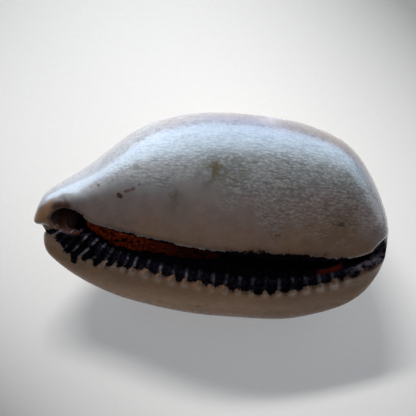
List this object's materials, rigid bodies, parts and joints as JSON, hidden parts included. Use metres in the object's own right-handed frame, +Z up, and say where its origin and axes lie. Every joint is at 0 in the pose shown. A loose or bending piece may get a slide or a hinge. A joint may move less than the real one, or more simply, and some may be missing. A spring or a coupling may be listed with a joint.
{
  "type": "cowrie shell",
  "caption": "Large cowrie shell lying on its back, its narrow toothed opening turned upwards, with a dry orange deposit lodged in the slit.",
  "frame": {"origin": "under the middle of the shell's bounding box, on the surface that it rests on", "axes": "+X along the shell from its narrow front (siphon) tip to its broad back tip, +Z up as it lies at rest"},
  "size_m": [0.0746, 0.0434, 0.0438],
  "materials": {
    "shell": "glossy enamel, white to grey-tan, with dark stain between the teeth",
    "dried_deposit": "dry, crumbly, rust orange and black"
  },
  "bodies": {
    "root": {"shell": "shell", "dried_deposit": "dried_deposit"}
  },
  "joints": []
}
